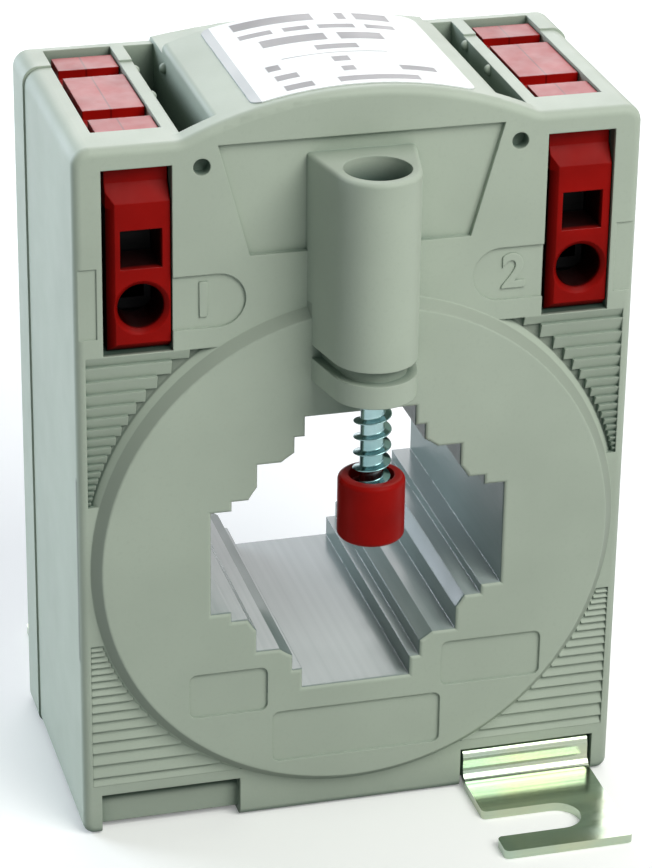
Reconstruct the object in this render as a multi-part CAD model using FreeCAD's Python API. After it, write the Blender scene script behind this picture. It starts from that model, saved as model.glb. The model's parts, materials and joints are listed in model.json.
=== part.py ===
import FreeCAD
import Part
import math
import os

# Window-type current transformer with a moulded housing, two spring terminals,
# a clamping screw over the window and two plug-in feet.
# Millimetres. X runs across the front, +Y to the back, +Z up.
# Origin: centre of the footprint, on the plane that the feet stand on.
# "Depth" is always the distance behind the flat front face.

Vector = FreeCAD.Vector

# Housing
HOUSING_DEPTH = 31.8
HEAD_ROOM = 17.15
COVER_DEPTH = 6.5
COVER_STEP = 0.2
FRONT_WALL = 2.6
REAR_WALL = 2.0
SIDE_WALL = 2.4
FRONT_ROUND = 0.9
REAR_ROUND = 1.0
TOP_CORNER_ROUND = 1.8
BOTTOM_CORNER_ROUND = 1.2

# Arched crown between the two terminal towers
ARCH_RISE = 4.2
ARCH_OVERLAP = 0.47
ARCH_BLEND = 2.0
CROWN_WALL = 1.9
CROWN_EDGE_ROUND = 0.8
REAR_ARCH_RISE = 1.9
CHANNEL_WIDTH = 3.3
CHANNEL_DROP = 15.2
CHANNEL_FLOOR = 1.8

# Window for the busbar, the same across as upright. The steps, the square and
# the round opening are set in from the ends of the slot.
SLOT_LENGTH = 32.2
SLOT_WIDTH = 12.0
STEP_INSET = 2.25
STEP_RISE = 1.1
SQUARE_INSET = 5.0
ROUND_INSET = 2.1
TUNNEL_WALL = 1.3
WINDOW_ROUND = 0.4

# Raised discs round the window, with a sloping flank
DISC_EDGE = 1.15
DISC_FOOT = 3.2
DISC_RISE = 1.2
REAR_DISC_RISE = 2.0
DISC_FLANK = 1.05
DISC_ROUND = 0.3

# Terminal openings in the towers
OPENING_WIDTH = 7.3
TOWER_OUTER_WALL = 2.9
TOWER_INNER_WALL = 1.4
LINTEL_HEIGHT = 2.3
LINTEL_DEPTH = 4.9
REAR_LINTEL_DEPTH = 1.8
OPENING_HEIGHT = 20.2
SHELF = 1.8

# Terminal blocks
BLOCK_GAP_LEFT = 0.65
BLOCK_GAP_RIGHT = 0.15
BLOCK_GAP_UNDER = 0.2
BLOCK_INSET = 0.4
BLOCK_BEVEL = 1.3
BLOCK_BEVEL_RISE = 1.9
BLOCK_EDGE = 0.8
BLOCK_BEVEL_DROP = 3.9
BLOCK_TOP_DROP = 0.3
BLOCK_REAR_GAP = 1.3
GROOVE_DROP = 1.0
FRONT_GROOVE = 2.7
REAR_GROOVE = 2.4
FRONT_BAND = 4.3
REAR_BAND = 4.0
ENTRY_SHIFT = 0.5
WIRE_HOLE = 4.9
WIRE_HOLE_RISE = 4.9
WIRE_FUNNEL = 0.5
TOOL_HOLE_WIDTH = 4.35
TOOL_HOLE_HEIGHT = 4.25
TOOL_HOLE_RISE = 11.3
ENTRY_DEPTH = 5.1
CHAMBER_PARTITION = 1.6
CHAMBER_SIDE_GAP = 0.4
CHAMBER_RISE = 15.2

# Contact bars, clamp springs and lead wires
BAR_WIDTH = 4.4
BAR_THICKNESS = 1.2
BAR_END_GAP = 0.3
FIT_GAP = 0.05
SPRING_WIDTH = 4.2
SPRING_THICKNESS = 0.4
SPRING_BEND = 1.2
SPRING_GAP = 0.35
SPRING_RIM = 0.7
LEAD_DIAMETER = 1.6
LEAD_CORE = 1.0
LEAD_GAP = 0.2

# Screw boss on the front
BOSS_REACH = 5.4
BOSS_NOSE_RADIUS = 4.5
BOSS_HALF_WIDTH = 5.7
BOSS_TOP_DROP = 2.3
BOSS_LENGTH = 20.5
BOSS_ROUND = 0.5
BOSS_BORE = 7.0
BOSS_FLOOR = 1.5
NECK_HEIGHT = 1.5
NECK_INSET = 1.1
FLANGE_HEIGHT = 2.5

# Clamping screw and its cap
SCREW_DIAMETER = 4.0
SCREW_GAP = 0.05
HEAD_DIAMETER = 6.4
HEAD_HEIGHT = 2.2
HEAD_ROUND = 0.8
HEAD_LIFT = 10.2
DRIVE_WIDTH = 0.9
DRIVE_LENGTH = 3.6
DRIVE_DEPTH = 1.2
CAP_DIAMETER = 7.1
CAP_HEIGHT = 7.0
CAP_DROP = 9.4
CAP_FLOOR = 2.4
CAP_MOUTH = 4.8
CAP_MOUTH_DEPTH = 1.2
CAP_ROUND = 0.6

# Recesses on the front
PANEL_DEPTH = 0.6
PANEL_TOP_DROP = 0.6
PANEL_HEIGHT = 12.2
PANEL_TAPER = 3.35
PAD_DEPTH = 0.3
PAD_HEIGHT = 5.9
PAD_RISE = 5.1
PAD_REACH = 4.7
PAD_ROUND = 0.8
PIN_HOLE = 1.8
PIN_HOLE_DROP = 2.75
PIN_HOLE_DEPTH = 1.5
SIDE_PAD_DEPTH = 0.15
SIDE_PAD_GAP = 0.6
SIDE_PAD_RISE = 2.0
SIDE_PAD_HEIGHT = 7.7

# Bare marking pads in the disc, placed from the middle and from the window's low edge
LEFT_MARK_START = 9.9
LEFT_MARK_WIDTH = 8.6
LEFT_MARK_TOP = 3.05
LEFT_MARK_HEIGHT = 5.25
MIDDLE_MARK_START = 9.3
MIDDLE_MARK_WIDTH = 18.9
MIDDLE_MARK_DROP = 2.65
MIDDLE_MARK_HEIGHT = 6.2
RIGHT_MARK_START = 9.6
RIGHT_MARK_WIDTH = 11.3
RIGHT_MARK_TOP = 3.55
RIGHT_MARK_HEIGHT = 5.4

# Small pips in the channels
PIP_RADIUS = 0.6
PIP_DROP = 0.7
PIP_SEAM_GAP = 1.1
PIP_SPACING = 8.2

# Shiplap ribs on the front, counted up and down from the window's centre
RIB_COUNT = 17
RIB_DEPTH = 0.5
RIB_START_UP = 1.48
RIB_START_DOWN = 2.64
RIB_UNDER_OPENING = 1.18
RIB_OVER_NOTCH = 2.27
RIB_TAIL = 1.1
RIB_EDGE = 1.05
MOAT_WIDTH = 0.75
MOAT_DEPTH = 0.8

# Plug-in feet and the notches that hold them
FOOT_THICKNESS = 1.0
FOOT_SIDE_GAP = 0.4
FOOT_LENGTH = 15.5
FOOT_INNER_BEND = 1.3
TAB_INNER_BEND = 0.5
TAB_LENGTH = 3.85
FOOT_SLOT_WIDTH = 5.2
FOOT_SLOT_REACH = 9.8
FOOT_SLOT_END = 4.2
FOOT_CORNER = 0.6
NOTCH_WIDTH = 15.4
NOTCH_SIDE = 2.0
NOTCH_HEIGHT = 4.82
NOTCH_SETBACK = 1.3
NOTCH_SLOT_DEPTH = 4.0
NOTCH_LIFT = 0.7
NOTCH_ROUND = 0.9
FOOT_GAP = 0.15
TAB_GAP = 0.06

# Locating pins between the two shells
LOCATING_PIN = 3.0
LOCATING_PIN_LENGTH = 4.0
LOCATING_PIN_GAP = 0.1
LOCATING_PIN_INSET = 4.5
LOCATING_PIN_RISE = 10.5

# Ring core, its case, winding and tape. The build is their room across the ring.
RING_BUILD = 8.518
RING_GAP = 0.3
TAPE = 0.4
WINDING = 0.9
CASE_WALL = 0.6
LAYER_GAP = 0.05
WINDING_OPEN_ANGLE = 24.0
TAPE_OPEN_ANGLE = 12.0

# Rating label on the crown
LABEL_LEFT_GAP = 3.9
LABEL_RIGHT_GAP = 2.7
LABEL_START = 1.5
LABEL_END_GAP = 0.4
LABEL_THICKNESS = 0.12
LABEL_ROUND = 1.2

# Places that several pieces share
STEP_LENGTH = SLOT_LENGTH - 2 * STEP_INSET
STEP_WIDTH = SLOT_WIDTH + 2 * STEP_RISE
SQUARE_SIDE = SLOT_LENGTH - 2 * SQUARE_INSET
ROUND_OPENING = SLOT_LENGTH - 2 * ROUND_INSET
WINDOW_REACH = max(math.hypot(SLOT_LENGTH, SLOT_WIDTH), math.hypot(STEP_LENGTH, STEP_WIDTH),
                   math.hypot(SQUARE_SIDE, SQUARE_SIDE), ROUND_OPENING) / 2
RING_BORE = WINDOW_REACH + TUNNEL_WALL + RING_GAP
CAVITY_RADIUS = RING_BORE + RING_BUILD + RING_GAP
HALF_WIDTH = CAVITY_RADIUS + SIDE_WALL
DISC_RADIUS = HALF_WIDTH - DISC_EDGE
WINDOW_HEIGHT = DISC_FOOT + DISC_RADIUS
TOWER_HEIGHT = WINDOW_HEIGHT + HALF_WIDTH + HEAD_ROOM
SEAM = HOUSING_DEPTH - COVER_DEPTH
OPENING_CENTRE = HALF_WIDTH - TOWER_OUTER_WALL - OPENING_WIDTH / 2
OPENING_INNER = OPENING_CENTRE - OPENING_WIDTH / 2
OPENING_OUTER = OPENING_CENTRE + OPENING_WIDTH / 2
OPENING_TOP = TOWER_HEIGHT - LINTEL_HEIGHT
OPENING_BOTTOM = OPENING_TOP - OPENING_HEIGHT
TOWER_INNER = OPENING_INNER - TOWER_INNER_WALL
CROWN_HALF = TOWER_INNER - CHANNEL_WIDTH
CHANNEL_BOTTOM = TOWER_HEIGHT - CHANNEL_DROP
ARCH_RADIUS = ((TOWER_INNER + ARCH_OVERLAP) ** 2 + ARCH_RISE ** 2) / (2 * ARCH_RISE)
ARCH_CENTRE = TOWER_HEIGHT + ARCH_RISE - ARCH_RADIUS
REAR_ARCH_RADIUS = (TOWER_INNER ** 2 + REAR_ARCH_RISE ** 2) / (2 * REAR_ARCH_RISE)
REAR_ARCH_CENTRE = TOWER_HEIGHT + REAR_ARCH_RISE - REAR_ARCH_RADIUS
CAVITY_TOP = OPENING_BOTTOM - SHELF
CAVITY_REAR = HOUSING_DEPTH - REAR_WALL
BOSS_TOP = TOWER_HEIGHT - BOSS_TOP_DROP
BOSS_BOTTOM = BOSS_TOP - BOSS_LENGTH
FLANGE_TOP = BOSS_BOTTOM - NECK_HEIGHT
FLANGE_BOTTOM = FLANGE_TOP - FLANGE_HEIGHT
BORE_FLOOR = BOSS_BOTTOM + BOSS_FLOOR
CAP_TOP = FLANGE_BOTTOM - CAP_DROP
CAP_BOTTOM = CAP_TOP - CAP_HEIGHT
WIRE_HOLE_HEIGHT = OPENING_BOTTOM + WIRE_HOLE_RISE
TOOL_HOLE_MIDDLE = OPENING_BOTTOM + TOOL_HOLE_RISE
BLOCK_BOTTOM = OPENING_BOTTOM + BLOCK_GAP_UNDER
BAR_TOP = WIRE_HOLE_HEIGHT - WIRE_HOLE / 2 - FIT_GAP
CHAMBER_START = BLOCK_INSET + ENTRY_DEPTH
MIDDLE_DEPTH = HOUSING_DEPTH / 2
CHAMBER_DEPTH = MIDDLE_DEPTH - CHAMBER_START - CHAMBER_PARTITION
PAD_HEIGHT_CENTRE = OPENING_BOTTOM + PAD_RISE
RIB_CLEAR_RADIUS = DISC_RADIUS + MOAT_WIDTH
RIB_START = math.sqrt(RIB_CLEAR_RADIUS ** 2 - (HALF_WIDTH - RIB_EDGE) ** 2)
RIB_END_UP = OPENING_BOTTOM - RIB_UNDER_OPENING - WINDOW_HEIGHT
RIB_END_DOWN = WINDOW_HEIGHT - NOTCH_HEIGHT - RIB_OVER_NOTCH
NOTCH_CENTRE = HALF_WIDTH - NOTCH_SIDE - NOTCH_WIDTH / 2
FOOT_WIDTH = NOTCH_WIDTH - 2 * FOOT_SIDE_GAP


def at(depth):
    """Y of the plane at a depth behind the front face."""
    return depth - HOUSING_DEPTH / 2


def box(x_range, depth_range, z_range):
    size = [high - low for low, high in (x_range, depth_range, z_range)]
    return Part.makeBox(*size, Vector(x_range[0], at(depth_range[0]), z_range[0]))


def rod(radius, x, depth_range, z):
    """Cylinder along Y."""
    length = depth_range[1] - depth_range[0]
    return Part.makeCylinder(radius, length, Vector(x, at(depth_range[0]), z), Vector(0, 1, 0))


def post(radius, x, depth, z_range):
    """Cylinder along Z."""
    return Part.makeCylinder(radius, z_range[1] - z_range[0], Vector(x, at(depth), z_range[0]))


def span(side, inner, outer):
    """Range in X between two distances from the middle, on the left or the right side."""
    return (inner, outer) if side > 0 else (-outer, -inner)


def front_plane(points):
    """Points given across and up, laid in the plane of the front face."""
    return [Vector(x, at(0), z) for x, z in points]


def side_plane(points):
    """Points given by depth and height, laid in the middle plane."""
    return [Vector(0, at(depth), z) for depth, z in points]


def prism(points, depth_range):
    """Solid with a polygon across and up, between two depths."""
    corners = front_plane(points)
    face = Part.Face(Part.makePolygon(corners + corners[:1]))
    return lift(face, depth_range)


def lift(face, depth_range):
    """Extrudes a face of the front plane between two depths."""
    solid = face.extrude(Vector(0, depth_range[1] - depth_range[0], 0))
    solid.translate(Vector(0, depth_range[0], 0))
    return solid


def corner_arc(before, corner, after, radius):
    """Start, middle and end of the arc that rounds a corner."""
    arriving = (corner - before).normalize()
    leaving = (after - corner).normalize()
    half_turn = arriving.getAngle(leaving) / 2
    start = corner - arriving * (radius * math.tan(half_turn))
    end = corner + leaving * (radius * math.tan(half_turn))
    inward = (leaving - arriving).normalize()
    middle = corner + inward * (radius / math.cos(half_turn) - radius)
    return start, middle, end


def rounded_wire(corners, radius):
    """Closed wire through the corners, each rounded to one radius."""
    count = len(corners)
    arcs = [
        corner_arc(corners[i - 1], corners[i], corners[(i + 1) % count], radius)
        for i in range(count)
    ]
    edges = []
    for i, (start, middle, end) in enumerate(arcs):
        edges.append(Part.Arc(start, middle, end).toShape())
        edges.append(Part.LineSegment(end, arcs[(i + 1) % count][0]).toShape())
    return Part.Wire(edges)


def rectangle(x_range, z_range):
    """Corners of a rectangle across and up."""
    (left, right), (low, high) = x_range, z_range
    return [(left, low), (right, low), (right, high), (left, high)]


def rounded_pad(x_range, z_range, radius, depth_range):
    wire = rounded_wire(front_plane(rectangle(x_range, z_range)), radius)
    return lift(Part.Face(wire), depth_range)


def fillet_at(solid, radius, chosen):
    """Rounds the edges whose middle the test picks."""
    edges = [edge for edge in solid.Edges if chosen(edge.CenterOfMass)]
    return solid.makeFillet(radius, edges) if edges else solid


def edges_in_plane(solid, y):
    return [edge for edge in solid.Edges
            if all(abs(vertex.Y - y) < 1e-6 for vertex in edge.Vertexes)]


def fuse_all(first, others):
    return first.multiFuse(list(others)).removeSplitter()


def window_prism(margin, depth_range):
    """The stepped window, grown by a margin all round."""
    bars = [
        (SLOT_LENGTH, SLOT_WIDTH), (SLOT_WIDTH, SLOT_LENGTH),
        (STEP_LENGTH, STEP_WIDTH), (STEP_WIDTH, STEP_LENGTH),
        (SQUARE_SIDE, SQUARE_SIDE),
    ]
    solids = []
    for width, height in bars:
        half_width, half_height = width / 2 + margin, height / 2 + margin
        z_range = (WINDOW_HEIGHT - half_height, WINDOW_HEIGHT + half_height)
        solids.append(box((-half_width, half_width), depth_range, z_range))
    middle = rod(ROUND_OPENING / 2 + margin, 0, depth_range, WINDOW_HEIGHT)
    return fuse_all(middle, solids)


def front_outline():
    """Outline of the front wall: two tower tops joined by a low arch."""
    left, right, top = -HALF_WIDTH, HALF_WIDTH, TOWER_HEIGHT
    corners = front_plane([(left, 0), (right, 0), (right, top), (left, top)])
    rounds = (BOTTOM_CORNER_ROUND, BOTTOM_CORNER_ROUND, TOP_CORNER_ROUND, TOP_CORNER_ROUND)
    arcs = [
        corner_arc(corners[i - 1], corners[i], corners[(i + 1) % 4], rounds[i])
        for i in range(4)
    ]
    blend_rise = top + ARCH_BLEND - ARCH_CENTRE
    blend_x = math.sqrt((ARCH_RADIUS + ARCH_BLEND) ** 2 - blend_rise ** 2)
    toward_arch = Vector(-blend_x, 0, -blend_rise).normalize()
    halfway = (toward_arch + Vector(0, 0, -1)).normalize()
    blend_centre = Vector(blend_x, at(0), top + ARCH_BLEND)
    blend = [
        blend_centre + direction * ARCH_BLEND
        for direction in (Vector(0, 0, -1), halfway, toward_arch)
    ]
    mirrored = [Vector(-point.x, point.y, point.z) for point in reversed(blend)]
    crest = Vector(0, at(0), ARCH_CENTRE + ARCH_RADIUS)
    edges = [Part.Arc(*points).toShape() for points in arcs]
    edges.append(Part.Arc(*blend).toShape())
    edges.append(Part.Arc(*mirrored).toShape())
    edges.append(Part.Arc(blend[2], crest, mirrored[0]).toShape())
    runs = [
        (arcs[0][2], arcs[1][0]), (arcs[1][2], arcs[2][0]), (arcs[2][2], blend[0]),
        (mirrored[2], arcs[3][0]), (arcs[3][2], arcs[0][0]),
    ]
    edges.extend(Part.LineSegment(*ends).toShape() for ends in runs)
    return Part.Wire(Part.__sortEdges__(edges))


def tower_wire(step):
    """Outline of the housing behind the front wall, wider and taller by a step."""
    half = HALF_WIDTH + step
    corners = front_plane([(-half, 0), (half, 0), (half, TOWER_HEIGHT + step),
                           (-half, TOWER_HEIGHT + step)])
    arcs = [
        corner_arc(corners[i - 1], corners[i], corners[(i + 1) % 4],
                   BOTTOM_CORNER_ROUND if i < 2 else TOP_CORNER_ROUND)
        for i in range(4)
    ]
    edges = [Part.Arc(*points).toShape() for points in arcs]
    for i in range(4):
        edges.append(Part.LineSegment(arcs[i][2], arcs[(i + 1) % 4][0]).toShape())
    return Part.Wire(Part.__sortEdges__(edges))


def arch_prism(centre, radius, half, foot, depth_range):
    """Solid under an arch of the given half width, standing on a flat foot."""
    spring = centre + math.sqrt(radius ** 2 - half ** 2)
    left_foot, left_top, right_top, right_foot, crest = front_plane(
        [(-half, foot), (-half, spring), (half, spring), (half, foot), (0, centre + radius)])
    edges = [
        Part.LineSegment(left_foot, left_top).toShape(),
        Part.Arc(left_top, crest, right_top).toShape(),
        Part.LineSegment(right_top, right_foot).toShape(),
        Part.LineSegment(right_foot, left_foot).toShape(),
    ]
    return lift(Part.Face(Part.Wire(edges)), depth_range)


def outer_form():
    """The whole housing as one solid form, before it is hollowed."""
    plate = lift(Part.Face(front_outline()), (0, FRONT_WALL))
    plate = plate.makeFillet(FRONT_ROUND, edges_in_plane(plate, at(0)))
    shell = lift(Part.Face(tower_wire(0)), (FRONT_ROUND, SEAM))
    crown = arch_prism(ARCH_CENTRE, ARCH_RADIUS, CROWN_HALF, CHANNEL_BOTTOM, (FRONT_ROUND, SEAM))
    crown = fillet_at(crown, CROWN_EDGE_ROUND, lambda p: abs(abs(p.x) - CROWN_HALF) < 1e-6
                      and p.z > TOWER_HEIGHT and abs(p.y - at((FRONT_ROUND + SEAM) / 2)) < 1e-6)
    cover = lift(Part.Face(tower_wire(COVER_STEP)), (SEAM, HOUSING_DEPTH))
    cover = cover.makeFillet(REAR_ROUND, edges_in_plane(cover, at(HOUSING_DEPTH)))
    rear_arch = arch_prism(REAR_ARCH_CENTRE, REAR_ARCH_RADIUS, CROWN_HALF, CHANNEL_BOTTOM,
                           (SEAM, HOUSING_DEPTH))
    rear_arch = fillet_at(rear_arch, REAR_ROUND, lambda p: p.z > TOWER_HEIGHT
                          and abs(p.y - at(HOUSING_DEPTH)) < 1e-6)
    return fuse_all(plate, [shell, crown, cover, rear_arch])


def cavity():
    """Room for the ring core, with the tunnel round the window left standing."""
    left, right = -CAVITY_RADIUS, CAVITY_RADIUS
    inner_top = CHANNEL_BOTTOM - CHANNEL_FLOOR
    waist = CROWN_HALF - CROWN_WALL
    depth_range = (FRONT_WALL, CAVITY_REAR)
    bowl = rod(CAVITY_RADIUS, 0, depth_range, WINDOW_HEIGHT)
    chest = box((left, right), depth_range, (WINDOW_HEIGHT, CAVITY_TOP))
    neck = box((-TOWER_INNER, TOWER_INNER), depth_range, (WINDOW_HEIGHT, inner_top))
    front_head = arch_prism(ARCH_CENTRE, ARCH_RADIUS - CROWN_WALL, waist, CAVITY_TOP,
                            (FRONT_WALL, SEAM))
    rear_head = arch_prism(REAR_ARCH_CENTRE, REAR_ARCH_RADIUS - CROWN_WALL, waist, CAVITY_TOP,
                           (SEAM, CAVITY_REAR))
    room = fuse_all(bowl, [chest, neck, front_head, rear_head])
    return room.cut(window_prism(TUNNEL_WALL, (0, HOUSING_DEPTH)))


def terminal_pocket(side):
    """Opening for a terminal block, to the front, the back and the top."""
    across = span(side, OPENING_INNER, OPENING_OUTER)
    through = box(across, (-1, HOUSING_DEPTH + 1), (OPENING_BOTTOM, OPENING_TOP))
    upward = box(across, (LINTEL_DEPTH, HOUSING_DEPTH - REAR_LINTEL_DEPTH),
                 (OPENING_BOTTOM, TOWER_HEIGHT + 1))
    lead_x = side * OPENING_CENTRE + ENTRY_SHIFT
    lead = post(LEAD_DIAMETER / 2 + LEAD_GAP, lead_x, MIDDLE_DEPTH,
                (CAVITY_TOP - 1, OPENING_BOTTOM + 1))
    return [through, upward, lead]


def channel(side):
    """Open channel between a tower and the crown."""
    return box(span(side, CROWN_HALF, TOWER_INNER), (FRONT_WALL, CAVITY_REAR),
               (CHANNEL_BOTTOM, TOWER_HEIGHT + ARCH_RISE + 1))


def foot_notch(side, front):
    """Notch, slot and raised underside for a plug-in foot."""
    across = (side * NOTCH_CENTRE - NOTCH_WIDTH / 2, side * NOTCH_CENTRE + NOTCH_WIDTH / 2)
    slot_top = NOTCH_HEIGHT
    slot_bottom = slot_top - FOOT_THICKNESS - 2 * TAB_GAP
    inner = NOTCH_SETBACK + NOTCH_SLOT_DEPTH
    cuts = [
        box(across, (-1, NOTCH_SETBACK), (-1, NOTCH_HEIGHT)),
        box(across, (0, inner), (slot_bottom, slot_top)),
        box(across, (0, inner), (-1, NOTCH_LIFT)),
    ]
    edge = box(across, (NOTCH_SETBACK, NOTCH_SETBACK + NOTCH_ROUND),
               (slot_bottom - NOTCH_ROUND, slot_bottom))
    centre = Vector(across[0], at(NOTCH_SETBACK + NOTCH_ROUND), slot_bottom - NOTCH_ROUND)
    cuts.append(edge.cut(Part.makeCylinder(NOTCH_ROUND, NOTCH_WIDTH, centre, Vector(1, 0, 0))))
    if not front:
        for cut in cuts:
            cut.rotate(Vector(0, 0, 0), Vector(0, 0, 1), 180)
    return cuts


def rib_offsets(first, last):
    """Distances of the rib edges from the window's centre, in even proportion."""
    ratio = (last / first) ** (1 / (RIB_COUNT - 1))
    return [first * ratio ** k for k in range(RIB_COUNT)] + [last + RIB_TAIL]


def rib_cuts():
    """Wedges that leave shiplap ribs, and the moat between the ribs and the disc."""
    cuts = []
    for direction, first, last in ((1, RIB_START + RIB_START_UP, RIB_END_UP),
                                   (-1, RIB_START + RIB_START_DOWN, RIB_END_DOWN)):
        offsets = rib_offsets(first, last)
        for near, far in zip(offsets, offsets[1:]):
            inner = math.sqrt(RIB_CLEAR_RADIUS ** 2 - near ** 2)
            under_disc = math.sqrt((DISC_RADIUS - DISC_FLANK) ** 2 - far ** 2)
            low, high = WINDOW_HEIGHT + direction * near, WINDOW_HEIGHT + direction * far
            profile = side_plane([(-1, low), (RIB_DEPTH, low), (0, high), (-1, high)])
            face = Part.Face(Part.makePolygon(profile + profile[:1]))
            for side in (-1, 1):
                start, end = span(side, inner, HALF_WIDTH - RIB_EDGE)
                wedge = face.extrude(Vector(end - start, 0, 0))
                wedge.translate(Vector(start, 0, 0))
                cuts.append(wedge)
                cuts.append(box(span(side, under_disc, inner), (-1, MOAT_DEPTH),
                                (min(low, high), max(low, high))))
    return cuts


def front_recesses():
    """Shallow recesses of the flat front: panel, pads beside the terminals, pin holes."""
    top = TOWER_HEIGHT - PANEL_TOP_DROP
    bottom = top - PANEL_HEIGHT
    waist = CROWN_HALF - PANEL_TAPER
    panel = prism([(-waist, bottom), (waist, bottom), (CROWN_HALF, top), (-CROWN_HALF, top)],
                  (-1, PANEL_DEPTH))
    cuts = [panel]
    half = PAD_HEIGHT / 2
    for side in (-1, 1):
        nose = OPENING_INNER - PAD_REACH
        pad_z = (PAD_HEIGHT_CENTRE - half, PAD_HEIGHT_CENTRE + half)
        cuts.append(box(span(side, nose, OPENING_INNER + 1), (-1, PAD_DEPTH), pad_z))
        cuts.append(rod(half, side * nose, (-1, PAD_DEPTH), PAD_HEIGHT_CENTRE))
        side_pad_z = OPENING_BOTTOM + SIDE_PAD_RISE
        cuts.append(box(span(side, OPENING_OUTER + SIDE_PAD_GAP, HALF_WIDTH + 1),
                        (-1, SIDE_PAD_DEPTH), (side_pad_z, side_pad_z + SIDE_PAD_HEIGHT)))
        hole_x = side * (CROWN_HALF + CHANNEL_WIDTH / 2)
        cuts.append(rod(PIN_HOLE / 2, hole_x, (-1, PIN_HOLE_DEPTH), TOWER_HEIGHT - PIN_HOLE_DROP))
    return cuts


def disc_pads():
    """Bare marking pads sunk in the raised disc under the window."""
    low = WINDOW_HEIGHT - SLOT_LENGTH / 2
    left, middle, right = -LEFT_MARK_START, -MIDDLE_MARK_START, RIGHT_MARK_START
    left_top, middle_top, right_top = low + LEFT_MARK_TOP, low - MIDDLE_MARK_DROP, low + RIGHT_MARK_TOP
    places = [
        ((left - LEFT_MARK_WIDTH, left), (left_top - LEFT_MARK_HEIGHT, left_top)),
        ((middle, middle + MIDDLE_MARK_WIDTH), (middle_top - MIDDLE_MARK_HEIGHT, middle_top)),
        ((right, right + RIGHT_MARK_WIDTH), (right_top - RIGHT_MARK_HEIGHT, right_top)),
    ]
    return [rounded_pad(x, z, PAD_ROUND, (-DISC_RISE - 1, PAD_DEPTH - DISC_RISE))
            for x, z in places]


def raised_disc(surface, outward, rise, sink, root):
    """Disc round the window. Its flank starts under the surface by the sink, its body by the root."""
    face, foot, base = surface + outward * rise, surface - outward * sink, surface - outward * root
    wide = DISC_RADIUS + DISC_FLANK * sink / rise
    profile = side_plane([(base, WINDOW_HEIGHT), (base, WINDOW_HEIGHT + wide),
                          (foot, WINDOW_HEIGHT + wide),
                          (face, WINDOW_HEIGHT + DISC_RADIUS - DISC_FLANK), (face, WINDOW_HEIGHT)])
    disc = ring(Part.Face(Part.makePolygon(profile + profile[:1])))
    rim = [edge for edge in disc.Edges if edge.BoundBox.YLength < 1e-6
           and abs(edge.BoundBox.YMin - at(face)) < 1e-6 and edge.BoundBox.XLength > DISC_RADIUS]
    disc = disc.makeFillet(DISC_ROUND, rim)
    disc = disc.cut(window_prism(0, (min(base, face) - 1, max(base, face) + 1)))
    reach = SLOT_LENGTH / 2 + 1
    mouth = [edge for edge in edges_in_plane(disc, at(face))
             if edge.BoundBox.XMax < reach and edge.BoundBox.XMin > -reach]
    return disc.makeFillet(WINDOW_ROUND, mouth)


def channel_pips():
    """Small round pips on both walls of each channel."""
    back = SEAM - PIP_SEAM_GAP
    places = [(TOWER_INNER, back - PIP_SPACING), (TOWER_INNER, back), (CROWN_HALF, back)]
    return [Part.makeSphere(PIP_RADIUS, Vector(side * x, at(depth), TOWER_HEIGHT - PIP_DROP))
            for side in (-1, 1) for x, depth in places]


def boss_outline(inset, z):
    """Plan of the boss: flanks that narrow to a round nose."""
    half, radius = BOSS_HALF_WIDTH - inset, BOSS_NOSE_RADIUS - inset
    distance = math.hypot(half, BOSS_REACH)
    angle = math.atan2(BOSS_REACH, half) - math.acos(radius / distance)
    touch = Vector(radius * math.cos(angle), at(-BOSS_REACH) + radius * math.sin(angle), z)
    nose = Vector(0, at(-BOSS_REACH) - radius, z)
    back, wall = at(2 * PANEL_DEPTH), at(0)
    right = [touch, Vector(half, wall, z), Vector(half, back, z)]
    left = [Vector(-point.x, point.y, z) for point in reversed(right)]
    edges = [Part.LineSegment(a, b).toShape() for a, b in zip(right + left, (right + left)[1:])]
    edges.append(Part.Arc(left[2], nose, touch).toShape())
    return Part.Face(Part.Wire(Part.__sortEdges__(edges)))


def boss():
    """Column with the screw's bore, a neck and the flange that guides the screw."""
    column = boss_outline(0, BOSS_BOTTOM).extrude(Vector(0, 0, BOSS_LENGTH))
    rim = [edge for edge in column.Edges if edge.BoundBox.ZMin > BOSS_TOP - 1e-6
           and edge.BoundBox.YMin < at(0) - 1e-6]
    column = column.makeFillet(BOSS_ROUND, rim)
    neck = boss_outline(NECK_INSET, FLANGE_TOP).extrude(Vector(0, 0, NECK_HEIGHT))
    flange = boss_outline(0, FLANGE_BOTTOM).extrude(Vector(0, 0, FLANGE_HEIGHT))
    solid = fuse_all(column, [neck, flange])
    bore = post(BOSS_BORE / 2, 0, -BOSS_REACH, (BORE_FLOOR, BOSS_TOP + 1))
    guide = post(SCREW_DIAMETER / 2 + SCREW_GAP, 0, -BOSS_REACH, (FLANGE_BOTTOM - 1, BORE_FLOOR + 1))
    return solid.cut(bore).cut(guide)


def locating_pins(radius, reach):
    """Two pins that run forward from the seam."""
    x = HALF_WIDTH - LOCATING_PIN_INSET
    return [rod(radius, side * x, (SEAM - reach, SEAM + REAR_ROUND), LOCATING_PIN_RISE)
            for side in (-1, 1)]


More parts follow.
